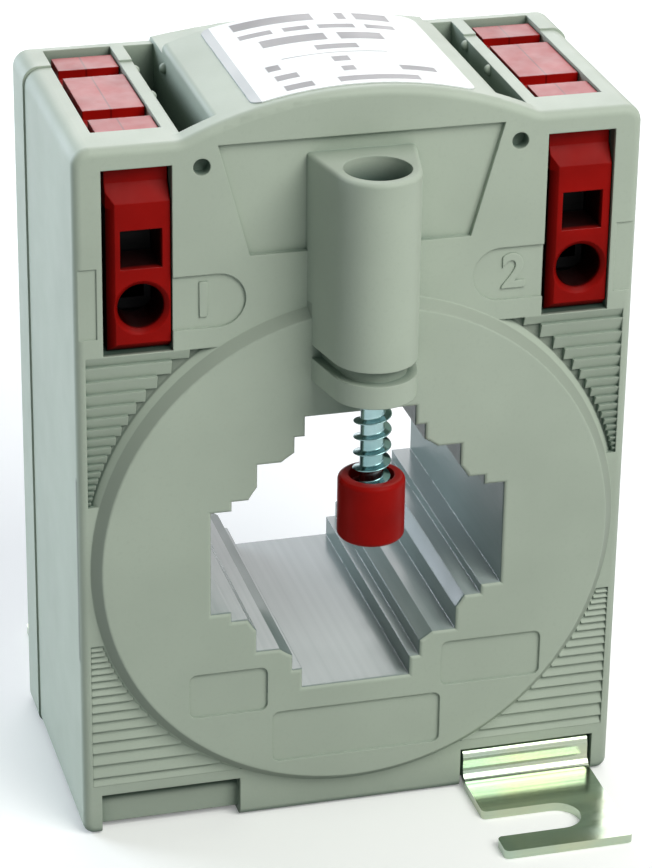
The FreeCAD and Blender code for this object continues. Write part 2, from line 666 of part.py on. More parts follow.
def housing():
    """Front shell and rear cover, cut apart at the seam."""
    cuts = [cavity(), window_prism(0, (-1, HOUSING_DEPTH + 1))]
    for side in (-1, 1):
        cuts.extend(terminal_pocket(side))
        cuts.append(channel(side))
        cuts.extend(foot_notch(side, True))
        cuts.extend(foot_notch(side, False))
    cuts.extend(front_recesses())
    cuts.extend(rib_cuts())
    hollow = outer_form().cut(cuts)
    front_disc = raised_disc(0, -1, DISC_RISE, MOAT_DEPTH, FRONT_WALL / 2)
    front_disc = front_disc.cut(disc_pads())
    rear_disc = raised_disc(HOUSING_DEPTH, 1, REAR_DISC_RISE, 0, REAR_WALL / 2)
    room = 2 * TOWER_HEIGHT
    ahead = box((-room, room), (-room, SEAM), (-room, room))
    behind = box((-room, room), (SEAM, room), (-room, room))
    front = fuse_all(hollow.common(ahead), [front_disc, boss()] + channel_pips())
    front = front.cut(locating_pins(LOCATING_PIN / 2 + LOCATING_PIN_GAP,
                                    LOCATING_PIN_LENGTH + LOCATING_PIN_GAP))
    rear = fuse_all(hollow.common(behind),
                    [rear_disc] + locating_pins(LOCATING_PIN / 2, LOCATING_PIN_LENGTH))
    return front, rear


def ring_section(inner, outer, front, back):
    """Rectangle in the middle plane, above the window's centre."""
    points = side_plane([(front, WINDOW_HEIGHT + inner), (back, WINDOW_HEIGHT + inner),
                         (back, WINDOW_HEIGHT + outer), (front, WINDOW_HEIGHT + outer)])
    return Part.Face(Part.makePolygon(points + points[:1]))


def ring(section, open_angle=0):
    """Turns a section round the window's axis, open at the top by an angle."""
    centre, axis = Vector(0, 0, WINDOW_HEIGHT), Vector(0, 1, 0)
    turned = section.copy()
    turned.rotate(centre, axis, open_angle / 2)
    return turned.revolve(centre, axis, 360 - open_angle)


def layer(outside):
    """Radii and depths of the ring at one distance in from the tape's outside."""
    return (RING_BORE + outside, CAVITY_RADIUS - RING_GAP - outside,
            FRONT_WALL + RING_GAP + outside, CAVITY_REAR - RING_GAP - outside)


def wrap(outside, thickness, open_angle):
    """Hollow ring that wraps the layers inside it."""
    outer = ring_section(*layer(outside))
    inner = ring_section(*layer(outside + thickness))
    return ring(outer.cut(inner), open_angle)


def ring_parts():
    """Core, its case in two halves, winding and tape, from the inside out."""
    winding_out = TAPE + LAYER_GAP
    case_out = winding_out + WINDING + LAYER_GAP
    core_out = case_out + CASE_WALL + LAYER_GAP
    core = ring(ring_section(*layer(core_out)))
    case = ring(ring_section(*layer(case_out))).cut(ring(ring_section(*layer(core_out - LAYER_GAP))))
    room = 2 * TOWER_HEIGHT
    front_half = box((-room, room), (-room, MIDDLE_DEPTH), (-room, room))
    winding = wrap(winding_out, WINDING, WINDING_OPEN_ANGLE)
    tape = wrap(0, TAPE, TAPE_OPEN_ANGLE)
    exits = [post(LEAD_DIAMETER / 2 + LEAD_GAP, side * OPENING_CENTRE + ENTRY_SHIFT, MIDDLE_DEPTH,
                  (WINDOW_HEIGHT, CAVITY_TOP)) for side in (-1, 1)]
    return {
        "core_ring": core,
        "core_case_front": case.common(front_half),
        "core_case_rear": case.cut(front_half),
        "secondary_winding": winding,
        "winding_tape": tape.cut(exits),
    }


def mirror_depth(solid):
    """The same form seen from the back, about the middle of the housing's depth."""
    return solid.mirror(Vector(0, at(MIDDLE_DEPTH), 0), Vector(0, 1, 0))


def block_profile():
    """Side view of a terminal block, by depth and height."""
    front, back = BLOCK_INSET, HOUSING_DEPTH - BLOCK_INSET
    shoulder = OPENING_TOP - BLOCK_TOP_DROP
    top = TOWER_HEIGHT - BLOCK_TOP_DROP
    bevel = OPENING_TOP - BLOCK_BEVEL_DROP
    raised_front = LINTEL_DEPTH + BLOCK_GAP_RIGHT
    raised_back = HOUSING_DEPTH - REAR_LINTEL_DEPTH - BLOCK_REAR_GAP
    first = raised_front + FRONT_BAND
    last = raised_back - REAR_BAND
    floor = top - GROOVE_DROP
    return [
        (front, BLOCK_BOTTOM + BLOCK_EDGE), (front + BLOCK_EDGE, BLOCK_BOTTOM),
        (back - BLOCK_EDGE, BLOCK_BOTTOM), (back, BLOCK_BOTTOM + BLOCK_EDGE),
        (back, bevel), (back - BLOCK_BEVEL, bevel + BLOCK_BEVEL_RISE),
        (back - BLOCK_BEVEL, shoulder), (raised_back, shoulder), (raised_back, top),
        (last, top), (last, floor), (last - REAR_GROOVE, floor), (last - REAR_GROOVE, top),
        (first + FRONT_GROOVE, top), (first + FRONT_GROOVE, floor), (first, floor), (first, top),
        (raised_front, top), (raised_front, shoulder), (front + BLOCK_BEVEL, shoulder),
        (front + BLOCK_BEVEL, bevel + BLOCK_BEVEL_RISE), (front, bevel),
    ]


def block_entry():
    """Front wire hole, tool hole and spring chamber, about x = 0."""
    start = (0, CHAMBER_START)
    half = SPRING_WIDTH / 2 + CHAMBER_SIDE_GAP
    tool = box((-TOOL_HOLE_WIDTH / 2, TOOL_HOLE_WIDTH / 2), start,
               (TOOL_HOLE_MIDDLE - TOOL_HOLE_HEIGHT / 2, TOOL_HOLE_MIDDLE + TOOL_HOLE_HEIGHT / 2))
    wire = rod(WIRE_HOLE / 2, 0, start, WIRE_HOLE_HEIGHT)
    mouth = WIRE_HOLE / 2 + WIRE_FUNNEL
    funnel = Part.makeCone(mouth, WIRE_HOLE / 2, WIRE_FUNNEL,
                           Vector(0, at(BLOCK_INSET), WIRE_HOLE_HEIGHT), Vector(0, 1, 0))
    chamber = box((-half, half), (CHAMBER_START, CHAMBER_START + CHAMBER_DEPTH),
                  (BLOCK_BOTTOM - 1, BLOCK_BOTTOM + CHAMBER_RISE))
    return [tool, wire, funnel, chamber]


def terminal_block(side):
    """Red terminal block with a wire and a tool entry on both faces."""
    middle = side * OPENING_CENTRE
    left = middle - OPENING_WIDTH / 2 + BLOCK_GAP_LEFT
    right = middle + OPENING_WIDTH / 2 - BLOCK_GAP_RIGHT
    outline = side_plane(block_profile())
    face = Part.Face(Part.makePolygon(outline + outline[:1]))
    solid = face.extrude(Vector(right - left, 0, 0))
    solid.translate(Vector(left, 0, 0))
    bottom, top = BLOCK_BOTTOM - 1, OPENING_TOP
    corner = [Vector(left - 1, at(BLOCK_INSET) - 1, bottom),
              Vector(left + BLOCK_EDGE + 1, at(BLOCK_INSET) - 1, bottom),
              Vector(left - 1, at(BLOCK_INSET) + BLOCK_EDGE + 1, bottom)]
    edge = Part.Face(Part.makePolygon(corner + corner[:1])).extrude(Vector(0, 0, top - bottom))
    cuts = [edge, mirror_depth(edge)]
    for cut in block_entry():
        cut.translate(Vector(middle + ENTRY_SHIFT, 0, 0))
        cuts.extend([cut, mirror_depth(cut)])
    bar = contact_bar(side, FIT_GAP)
    lead = post(LEAD_DIAMETER / 2 + LEAD_GAP, middle + ENTRY_SHIFT, MIDDLE_DEPTH,
                (BLOCK_BOTTOM - 1, BAR_TOP))
    return solid.cut(cuts + [bar, lead])


def contact_bar(side, margin=0.0):
    """Flat bar under both wire entries, grown by a margin for its slot."""
    middle = side * OPENING_CENTRE + ENTRY_SHIFT
    half = BAR_WIDTH / 2 + margin
    start = CHAMBER_START + BAR_END_GAP
    bar = box((middle - half, middle + half), (start, HOUSING_DEPTH - start),
              (BAR_TOP - BAR_THICKNESS - margin, BAR_TOP + margin))
    if margin:
        return bar
    return bar.cut(post(LEAD_CORE / 2 + FIT_GAP, middle, MIDDLE_DEPTH, (BAR_TOP - 2 * BAR_THICKNESS,
                                                                      BAR_TOP + 1)))


def strip_side(route, bends, offset):
    """One side of a folded strip: edges from its start to its end, and both end points."""
    normal = Vector(1, 0, 0)
    points = []
    radii = []
    for i, point in enumerate(route):
        arriving = (point - route[i - 1]).normalize() if i else None
        leaving = (route[i + 1] - point).normalize() if i + 1 < len(route) else None
        if arriving is None or leaving is None:
            direction = leaving or arriving
            points.append(point + normal.cross(direction) * offset)
            continue
        half_turn = arriving.getAngle(leaving) / 2
        left = normal.cross(arriving + leaving).normalize()
        points.append(point + left * (offset / math.cos(half_turn)))
        turns_left = normal.dot(arriving.cross(leaving)) > 0
        radii.append(bends[i - 1] - offset if turns_left else bends[i - 1] + offset)
    edges = []
    last = points[0]
    for i, radius in enumerate(radii, start=1):
        start, middle, end = corner_arc(points[i - 1], points[i], points[i + 1], radius)
        edges.append(Part.LineSegment(last, start).toShape())
        edges.append(Part.Arc(start, middle, end).toShape())
        last = end
    edges.append(Part.LineSegment(last, points[-1]).toShape())
    return edges, points[0], points[-1]


def folded_strip(route, bends, thickness, x_range):
    """Sheet of one thickness folded along a route in the side plane."""
    upper, upper_start, upper_end = strip_side(route, bends, thickness / 2)
    lower, lower_start, lower_end = strip_side(route, bends, -thickness / 2)
    ends = [Part.LineSegment(upper_end, lower_end).toShape(),
            Part.LineSegment(lower_start, upper_start).toShape()]
    face = Part.Face(Part.Wire(Part.__sortEdges__(upper + lower + ends)))
    solid = face.extrude(Vector(x_range[1] - x_range[0], 0, 0))
    solid.translate(Vector(x_range[0], 0, 0))
    return solid


def clamp_spring(side, rear):
    """Cage spring: foot on the bar, back, crest and a pierced clamping leg."""
    middle = side * OPENING_CENTRE + ENTRY_SHIFT
    half = SPRING_WIDTH / 2
    gap = SPRING_GAP + SPRING_THICKNESS / 2
    front, back = CHAMBER_START + gap, CHAMBER_START + CHAMBER_DEPTH - gap
    foot = BAR_TOP + FIT_GAP + SPRING_THICKNESS / 2
    crest = BLOCK_BOTTOM + CHAMBER_RISE - gap
    route = side_plane([((front + back) / 2, foot), (back, foot), (back, crest), (front, crest),
                        (front, foot)])
    spring = folded_strip(route, [SPRING_BEND] * 3, SPRING_THICKNESS, (middle - half, middle + half))
    hole = box((middle - half + SPRING_RIM, middle + half - SPRING_RIM),
               (front - 1, front + 1), (foot + SPRING_BEND, WIRE_HOLE_HEIGHT + WIRE_HOLE / 2))
    spring = spring.cut(hole)
    return mirror_depth(spring) if rear else spring


def lead_wire(side, winding):
    """Insulated lead from the winding up to the bar, stripped at its top."""
    x = side * OPENING_CENTRE + ENTRY_SHIFT
    bare = BAR_TOP - BAR_THICKNESS
    jacket = post(LEAD_DIAMETER / 2, x, MIDDLE_DEPTH, (WINDOW_HEIGHT, bare - LEAD_GAP))
    core = post(LEAD_CORE / 2, x, MIDDLE_DEPTH, (WINDOW_HEIGHT, BAR_TOP))
    wire = jacket.fuse(core).removeSplitter()
    outer = layer(TAPE + LAYER_GAP)[1]
    return wire.cut(rod(outer, 0, (0, HOUSING_DEPTH), WINDOW_HEIGHT)).cut(winding)


def foot_bracket(front):
    """Folded steel foot with a tab for the housing's slot and an open screw slot."""
    half = FOOT_THICKNESS / 2
    upright = FOOT_GAP + half
    tab = NOTCH_HEIGHT - TAB_GAP - half
    route = side_plane([(-FOOT_LENGTH, half), (upright, half), (upright, tab),
                        (NOTCH_SETBACK + TAB_LENGTH, tab)])
    left = NOTCH_CENTRE - FOOT_WIDTH / 2
    bends = [FOOT_INNER_BEND + half, TAB_INNER_BEND + half]
    solid = folded_strip(route, bends, FOOT_THICKNESS, (left, left + FOOT_WIDTH))
    slot_x = left + FOOT_WIDTH - FOOT_SLOT_END - FOOT_SLOT_WIDTH / 2
    slot_half = FOOT_SLOT_WIDTH / 2
    solid = solid.cut([
        post(slot_half, slot_x, -FOOT_SLOT_REACH, (-1, FOOT_THICKNESS + 1)),
        box((left - 1, slot_x), (-FOOT_SLOT_REACH - slot_half, -FOOT_SLOT_REACH + slot_half),
            (-1, FOOT_THICKNESS + 1)),
    ])
    tip = at(-FOOT_LENGTH)
    near = at(-FOOT_SLOT_REACH) + slot_half
    solid = fillet_at(solid, FOOT_CORNER, lambda p: abs(p.z - half) < 1e-6 and (
        abs(p.y - tip) < 1e-6 and (abs(p.x - left) < 1e-6 or abs(p.x - left - FOOT_WIDTH) < 1e-6)
        or abs(p.x - left) < 1e-6 and p.y < near + 1e-6))
    if not front:
        solid.rotate(Vector(0, 0, 0), Vector(0, 0, 1), 180)
    return solid


def turned(points, depth):
    """Solid of revolution about an upright axis, from radius and height pairs."""
    corners = [Vector(radius, at(depth), z) for radius, z in points]
    face = Part.Face(Part.makePolygon(corners + corners[:1]))
    return face.revolve(Vector(0, at(depth), 0), Vector(0, 0, 1), 360)


def clamp_screw():
    """Pan-head screw with a cross recess, its shank drawn at the thread's outside."""
    radius, head = SCREW_DIAMETER / 2, HEAD_DIAMETER / 2
    seat = BORE_FLOOR + HEAD_LIFT
    tip = CAP_BOTTOM + CAP_FLOOR + SCREW_GAP
    screw = turned([(0, tip), (radius, tip), (radius, seat), (head, seat),
                    (head, seat + HEAD_HEIGHT), (0, seat + HEAD_HEIGHT)], -BOSS_REACH)
    top = [edge for edge in screw.Edges if edge.BoundBox.ZMin > seat + HEAD_HEIGHT - 1e-6]
    screw = screw.makeFillet(HEAD_ROUND, top)
    low = seat + HEAD_HEIGHT - DRIVE_DEPTH
    half, arm = DRIVE_WIDTH / 2, DRIVE_LENGTH / 2
    z_range = (low, seat + HEAD_HEIGHT + 1)
    depth = -BOSS_REACH
    return screw.cut([box((-arm, arm), (depth - half, depth + half), z_range),
                      box((-half, half), (depth - arm, depth + arm), z_range)])


def screw_cap():
    """Pressure cap that the screw turns in."""
    outer, bore = CAP_DIAMETER / 2, SCREW_DIAMETER / 2 + SCREW_GAP
    floor = CAP_BOTTOM + CAP_FLOOR
    ledge = CAP_TOP - CAP_MOUTH_DEPTH
    cap = turned([(0, CAP_BOTTOM), (outer, CAP_BOTTOM), (outer, CAP_TOP), (CAP_MOUTH / 2, CAP_TOP),
                  (CAP_MOUTH / 2, ledge), (bore, ledge), (bore, floor), (0, floor)], -BOSS_REACH)
    rims = [edge for edge in cap.Edges if edge.BoundBox.ZLength < 1e-6
            and abs(edge.BoundBox.XMax - outer) < 1e-6]
    return cap.makeFillet(CAP_ROUND, rims)


def rating_label():
    """Thin label that follows the crown."""
    skin = rod(ARCH_RADIUS + LABEL_THICKNESS, 0, (0, SEAM), ARCH_CENTRE)
    skin = skin.cut(rod(ARCH_RADIUS, 0, (-1, SEAM + 1), ARCH_CENTRE))
    front, back = at(LABEL_START), at(SEAM - LABEL_END_GAP)
    left, right = LABEL_LEFT_GAP - CROWN_HALF, CROWN_HALF - LABEL_RIGHT_GAP
    corners = [Vector(x, y, TOWER_HEIGHT) for x, y in (
        (left, front), (right, front), (right, back), (left, back))]
    outline = Part.Face(rounded_wire(corners, LABEL_ROUND))
    return skin.common(outline.extrude(Vector(0, 0, 2 * ARCH_RISE)))


def build():
    front, rear = housing()
    parts = {"front_housing": front, "rear_cover": rear}
    parts.update(ring_parts())
    for name, side in (("left", -1), ("right", 1)):
        parts["terminal_block_" + name] = terminal_block(side)
        parts["contact_bar_" + name] = contact_bar(side)
        parts["lead_wire_" + name] = lead_wire(side, parts["secondary_winding"])
        parts["clamp_spring_" + name + "_front"] = clamp_spring(side, False)
        parts["clamp_spring_" + name + "_rear"] = clamp_spring(side, True)
    parts["foot_bracket_front"] = foot_bracket(True)
    parts["foot_bracket_rear"] = foot_bracket(False)
    parts["clamp_screw"] = clamp_screw()
    parts["screw_cap"] = screw_cap()
    parts["rating_label"] = rating_label()
    return parts


def main():
    os.makedirs("parts", exist_ok=True)
    for node, shape in build().items():
        shape.exportStep("parts/" + node + ".step")
        print(node, "solids", len(shape.Solids), "volume", round(shape.Volume, 2), shape.isValid())


main()
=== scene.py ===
import json
import math

import bmesh
import bpy
from mathutils import Matrix, Vector


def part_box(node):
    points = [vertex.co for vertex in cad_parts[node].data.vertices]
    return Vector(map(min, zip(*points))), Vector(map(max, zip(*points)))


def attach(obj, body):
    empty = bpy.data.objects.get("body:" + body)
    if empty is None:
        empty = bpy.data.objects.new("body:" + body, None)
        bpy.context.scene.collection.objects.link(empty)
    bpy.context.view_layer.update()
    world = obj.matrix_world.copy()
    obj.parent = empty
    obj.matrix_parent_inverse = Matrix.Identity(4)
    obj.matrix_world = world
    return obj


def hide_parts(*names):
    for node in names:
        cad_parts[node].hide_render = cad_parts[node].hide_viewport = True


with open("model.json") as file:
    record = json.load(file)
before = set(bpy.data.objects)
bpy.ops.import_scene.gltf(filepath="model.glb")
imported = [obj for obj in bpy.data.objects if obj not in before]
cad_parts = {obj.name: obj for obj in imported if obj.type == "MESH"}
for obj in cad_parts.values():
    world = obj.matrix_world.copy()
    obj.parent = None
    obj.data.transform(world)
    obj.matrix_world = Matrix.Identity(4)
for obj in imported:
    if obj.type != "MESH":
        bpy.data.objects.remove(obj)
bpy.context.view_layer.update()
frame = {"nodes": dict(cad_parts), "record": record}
nodes = frame["nodes"]

# All lengths are in metres
MM = 0.001

# Front face, behind which the terminal blocks lie, and seam, which the cover's pins reach past
BLOCK_INSET = 0.4 * MM
PIN_LENGTH = 4.0 * MM
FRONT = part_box("terminal_block_left")[0].y - BLOCK_INSET
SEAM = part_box("rear_cover")[0].y + PIN_LENGTH

# Window with its tunnel, and openings of the terminals on each side, with the depths over which
# painted shade darkens their walls
WINDOW_CENTRE = Vector((0.0, 0.0, 32.05 * MM))
TUNNEL_HALF = 16.3 * MM
OPENING_SIDES = (19.75 * MM, 27.15 * MM)
OPENING_HEIGHTS = (56.65 * MM, 76.95 * MM)
OPENING_SHADE = (0.02 * MM, 0.6 * MM)

# Screw bore of the boss, inside which shade is painted
SCREW_AXIS = (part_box("clamp_screw")[0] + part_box("clamp_screw")[1]) / 2
BORE_RADIUS = 3.55 * MM
BORE_HEIGHTS = (56.0 * MM, 75.2 * MM)
BORE_FADE = 1.2 * MM

# Rings round the disc that get painted shade: reach from its edge, depths behind the front, and
# soft edges of both
DISC_RADIUS = 28.85 * MM
MOAT_SHADE = ((-1.3 * MM, 3 * MM), (0.6 * MM, 1.2 * MM), (0.1 * MM, 0.05 * MM))
FLANK_SHADE = ((-1.1 * MM, 0.6 * MM), (-1.15 * MM, -0.05 * MM), (0.04 * MM, 0.04 * MM))

# Lower ribs: first and last edge below the window's centre, and how far the faces stand proud
LOWER_RIBS = (8.81 * MM, 24.96 * MM)
RIB_COUNT = 17
RIB_TAIL = 1.1 * MM
RIB_OUTER_END = 28.93 * MM
RIB_DISC_GAP = 0.3 * MM
RIB_DEPTH = 0.5 * MM
RIB_PROUD_DEEP = 0.04 * MM
RIB_PROUD_FRONT = 0.01 * MM
MOAT_DEPTH = 0.8 * MM

# Red blocks: heights between which their entries get painted shade, depth of that shade, line on
# the top
ENTRY_HEIGHTS = (50 * MM, 72.5 * MM)
ENTRY_SHADE = (0.5 * MM, 1.4 * MM)
BLOCK_TOP = 77.5 * MM
LINE_HALF = 0.09 * MM
LINE_SOFT = 0.05 * MM

# Label: border's edge, then rows of print as distance behind the front, height and bars, in mm
LABEL_BORDER = -10.2 * MM
PRINT_SOFT = 0.08 * MM
PRINT_ROWS = [
    (22.9, 2.2, [(-8.2, 0.6), (3.2, 4.2), (5.2, 9.0)]),
    (19.6, 1.3, [(-8.2, -4.6), (-3.4, -0.6), (0.4, 4.4), (5.6, 8.8)]),
    (16.4, 2.2, [(-6.6, 0.4), (1.8, 6.6)]),
    (13.1, 1.5, [(-1.6, 3.0)]),
    (11.2, 0.22, [(-5.7, 5.6)]),
    (9.2, 1.6, [(-7.8, -6.4), (-0.8, 1.0)]),
    (6.2, 1.5, [(-7.6, -5.2), (-0.6, 0.8), (5.6, 9.4)]),
    (3.1, 1.5, [(-7.4, -4.4), (-1.8, 6.8)]),
]

# Metals: slot, material's name, tone, tint, roughness range, streak scale, streak height in mm
METALS = [
    ("yellow_zinc_steel", "yellow_zinc", (0.42, 0.53, 0.44, 1), (0.50, 0.55, 0.40, 1),
     (0.12, 0.22), (40, 1500, 1500), 0.003),
    ("blue_zinc_steel", "blue_zinc", (0.22, 0.36, 0.37, 1), (0.42, 0.56, 0.57, 1),
     (0.12, 0.22), (900, 900, 200), 0.004),
    # The spring steel gets a near-black tone: painted shade for a part that lies deep inside
    ("spring_steel", "dark_steel", (0.012, 0.012, 0.013, 1), (0.02, 0.02, 0.02, 1),
     (0.5, 0.65), (60, 1200, 1200), 0.01),
    ("tinned_bar", "tinned_bar", (0.025, 0.025, 0.025, 1), (0.04, 0.038, 0.035, 1),
     (0.45, 0.6), (900, 30, 900), 0.01),
    ("core_steel", "core_steel", (0.3, 0.31, 0.33, 1), (0.35, 0.35, 0.36, 1),
     (0.3, 0.5), (2000, 2000, 40), 0.02),
    ("enamelled_wire", "enamelled_wire", (0.5, 0.19, 0.07, 1), (0.6, 0.26, 0.1, 1),
     (0.2, 0.3), (500, 500, 500), 0.05),
]

# Plain inner materials: name, tone and roughness
DULL_MATERIALS = [
    ("case_plastic", (0.03, 0.03, 0.033, 1), 0.6),
    ("tape", (0.52, 0.42, 0.1, 1), 0.35),
    ("lead_jacket", (0.02, 0.02, 0.02, 1), 0.5),
]

# Thread of the clamping screw, with one turn as shares of the pitch and of the thread's height
THREAD_PITCH = 1.78 * MM
THREAD_ROOT = 1.27 * MM
THREAD_CREST = 2.0 * MM
THREAD_TAPER = 0.35 * MM
THREAD_COLUMNS = 72
THREAD_PROFILE = [
    (0.0, 0.0), (0.16, 0.0), (0.32, 0.0), (0.35, 0.02), (0.38, 0.12), (0.47, 0.86),
    (0.495, 0.97), (0.52, 1.0), (0.545, 0.97), (0.57, 0.86), (0.66, 0.12), (0.69, 0.02),
    (0.72, 0.0), (0.86, 0.0),
]
SMALLEST_EDGE = 0.0005 * MM

# Pan head of the clamping screw: shares are of its height or radius
HEAD_HEIGHT = 2.2 * MM
HEAD_SEGMENTS = 64
HEAD_FOOT_RADIUS = 0.98
HEAD_FOOT_HEIGHT = 0.06 * MM
HEAD_SIDE = 0.45
HEAD_SHOULDER = 0.43
HEAD_EDGE = 0.8 * MM
HEAD_EDGE_STEPS = 6
HEAD_CROWN = 0.88
HEAD_CROWN_RINGS = (0.66, 0.58, 0.5, 0.42, 0.34, 0.26, 0.18, 0.1)
RECESS_START = 0.8
RECESS_ARM = 1.9 * MM
RECESS_HALF = 0.42 * MM
RECESS_DEPTH = 1.2 * MM

# Raised numbers beside the terminals
NUMBERS = (("1", -1), ("2", 1))
NUMBER_SIDE = 16.6 * MM
NUMBER_HEIGHT = 61.8 * MM
NUMBER_SIZE = 5.2 * MM
PAD_DEPTH = 0.3 * MM
NUMBER_RISE = 0.05 * MM

# Camera, as solved from the photograph
LENS = 140.50
SENSOR = 36.0
AZIMUTH = math.radians(-15.529)
ELEVATION = math.radians(25.368)
ROLL = math.radians(0.850)
DISTANCE = 355.131 * MM
TARGET = Vector((-3.467 * MM, FRONT, 45.46 * MM))

# Studio: floor, soft light from all round, and lamps as name, direction, distance, size, power
# and colour
FLOOR_HALF = 3.0
FLOOR_DROP = 0.05 * MM
FLOOR_GLOW_REACH = (0.10, 0.55)
SKY_COLOR = (0.80, 0.97, 0.92, 1)
SKY_STRENGTH = 0.20
LAMP_AIM = Vector((0, 0, 0.04))
LAMPS = [
    ("top", (0.2, 0.3, 1.2), 1.0, 0.6, 1.4, (1.0, 0.86, 1.0)),
    ("right", (0.5, -0.87, 0.95), 0.40, 0.3, 1.22, (1.0, 1.0, 0.95)),
    ("left", (-0.85, 0.85, 0.28), 1.1, 0.7, 11.6, (0.80, 0.88, 1.0)),
    ("back", (0.24, 0.87, 0.43), 1.2, 0.9, 3.7, (1.0, 0.98, 1.0)),
]


class Graph:
    """Short calls that add shader nodes to a tree."""

    def __init__(self, tree):
        self.tree = tree

    def feed(self, socket, value):
        """Links a socket to another one, or sets it to a constant."""
        if isinstance(value, bpy.types.NodeSocket):
            self.tree.links.new(value, socket)
        else:
            socket.default_value = value

    def node(self, kind, settings=None, **inputs):
        made = self.tree.nodes.new("ShaderNode" + kind)
        for key, value in (settings or {}).items():
            setattr(made, key, value)
        for key, value in inputs.items():
            self.feed(made.inputs[key.replace("_", " ")], value)
        return made

    def math(self, operation, first, second=0.0):
        made = self.node("Math", {"operation": operation})
        self.feed(made.inputs[0], first)
        self.feed(made.inputs[1], second)
        return made.outputs[0]

    def times(self, first, second):
        return self.math("MULTIPLY", first, second)

    def squares(self, first, second):
        """The sum of two values' squares."""
        return self.math("ADD", self.times(first, first), self.times(second, second))

    def place(self):
        """Object coordinates, which are metres in the frame."""
        return self.node("TexCoord").outputs["Object"]

    def split(self, vector):
        return self.node("SeparateXYZ", Vector=vector).outputs

    def stretched(self, scale):
        return self.node("Mapping", Vector=self.place(), Scale=scale).outputs["Vector"]

    def noise(self, scale, detail, vector=None):
        made = self.node("TexNoise", Scale=scale, Detail=detail, Vector=vector or self.place())
        return made.outputs["Fac"]

    def remap(self, value, low, high, to_low=0.0, to_high=1.0):
        made = self.node("MapRange", Value=value, From_Min=low, From_Max=high, To_Min=to_low,
                         To_Max=to_high)
        return made.outputs["Result"]

    def blend(self, share, first, second):
        made = self.node("Mix", {"data_type": "RGBA"})
        self.feed(made.inputs["Factor"], share)
        self.feed(made.inputs["A"], first)
        self.feed(made.inputs["B"], second)
        return made.outputs["Result"]

    def bump(self, height, distance, strength, normal=None):
        made = self.node("Bump", Height=height, Distance=distance, Strength=strength)
        if normal is not None:
            self.feed(made.inputs["Normal"], normal)
        return made.outputs["Normal"]

    def facing(self):
        """The surface's direction, as x, y and z shares."""
        return self.split(self.node("NewGeometry").outputs["Normal"])

    def upward(self):
        """1 on level faces that look up, 0 on walls and undersides."""
        return self.remap(self.facing()[2], 0.82, 0.98)

    def soft_edges(self, radius):
        """A normal that rounds sharp edges by a small radius."""
        return self.node("Bevel", {"samples": 6}, Radius=radius).outputs["Normal"]

    def corners(self, reach):
        """Painted shade from ambient occlusion: 0 in the open, rising to 1 in deep holes,
        channels and where walls meet.
        """
        occlusion = self.node("AmbientOcclusion", {"samples": 6}, Distance=reach)
        return self.remap(occlusion.outputs["AO"], 0.05, 0.62, 1.0, 0.0)

    def recess(self, start, full):
        """0 at the front and rear faces, 1 where the surface lies deep behind them."""
        depth = self.math("ABSOLUTE", self.split(self.place())[1])
        return self.remap(depth, -FRONT - full, -FRONT - start, 1.0, 0.0)

    def between(self, value, low, high, soft):
        """1 between two values and 0 outside, with soft edges."""
        rise = self.remap(value, low - soft, low + soft)
        fall = self.remap(value, high - soft, high + soft, 1.0, 0.0)
        return self.times(rise, fall)

    def seen_directly(self):
        """1 for camera, glossy and transmission rays, 0 for the rays of soft light."""
        rays = self.node("LightPath").outputs
        seen = self.math("MAXIMUM", rays["Is Camera Ray"], rays["Is Glossy Ray"])
        return self.math("MAXIMUM", seen, rays["Is Transmission Ray"])


class Shader(Graph):
    """A node material with one Principled shader."""

    def __init__(self, name):
        self.material = bpy.data.materials.new(name)
        self.material.use_nodes = True
        super().__init__(self.material.node_tree)

    def complete(self, **inputs):
        """Feeds the shader's inputs, named with underscores for spaces."""
        surface = self.tree.nodes["Principled BSDF"]
        for name, value in inputs.items():
            self.feed(surface.inputs[name.replace("_", " ")], value)
        return self.material


def shade(color, factor):
    return tuple(min(1.0, value * factor) for value in color[:3]) + (1.0,)


def in_tunnel(s):
    """1 on the walls of the window's tunnel, 0 elsewhere."""
    x, _, z = s.split(s.place())
    across = s.math("ABSOLUTE", x)
    rise = s.math("ABSOLUTE", s.math("SUBTRACT", z, WINDOW_CENTRE.z))
    inside = s.times(s.math("LESS_THAN", across, TUNNEL_HALF),
                     s.math("LESS_THAN", rise, TUNNEL_HALF))
    frontal = s.math("ABSOLUTE", s.facing()[1])
    return s.times(inside, s.math("LESS_THAN", frontal, 0.5))


def tunnel_shade_tone(s):
    """Painted shade in the tunnel: bluish grey with streaks along it, darker still on faces that
    don't look up.
    """
    streaks = s.noise(1.0, 2, s.stretched((1400, 8, 1400)))
    wall = s.blend(s.remap(streaks, 0.3, 0.7), (0.31, 0.37, 0.37, 1), (0.37, 0.42, 0.43, 1))
    # Painted shade on the tunnel's faces that don't look up
    side = s.blend(0.75, wall, (0.08, 0.13, 0.12, 1))
    return s.blend(s.upward(), side, wall)


def opening_shade(s):
    """Painted shade: rises to 1 on the housing's walls inside the terminal openings."""
    x, _, z = s.split(s.place())
    edge = 0.02 * MM
    opening = s.times(s.between(s.math("ABSOLUTE", x), *OPENING_SIDES, edge),
                      s.between(z, *OPENING_HEIGHTS, edge))
    return s.times(opening, s.recess(*OPENING_SHADE))


def shaded_ring(s, reach, depths, soft):
    """1 in a ring round the disc's edge, between two depths behind the front, where shade is
    painted.
    """
    x, y, z = s.split(s.place())
    radius = s.math("SQRT", s.squares(x, s.math("SUBTRACT", z, WINDOW_CENTRE.z)))
    band = s.between(radius, DISC_RADIUS + reach[0], DISC_RADIUS + reach[1], soft[0])
    return s.times(band, s.between(y, FRONT + depths[0], FRONT + depths[1], soft[1]))


def bore_shade(s):
    """Painted shade: 1 inside the screw's bore."""
    x, y, z = s.split(s.place())
    squares = s.squares(x, s.math("SUBTRACT", y, SCREW_AXIS.y))
    return s.times(s.math("LESS_THAN", squares, BORE_RADIUS ** 2),
                   s.between(z, *BORE_HEIGHTS, BORE_FADE))


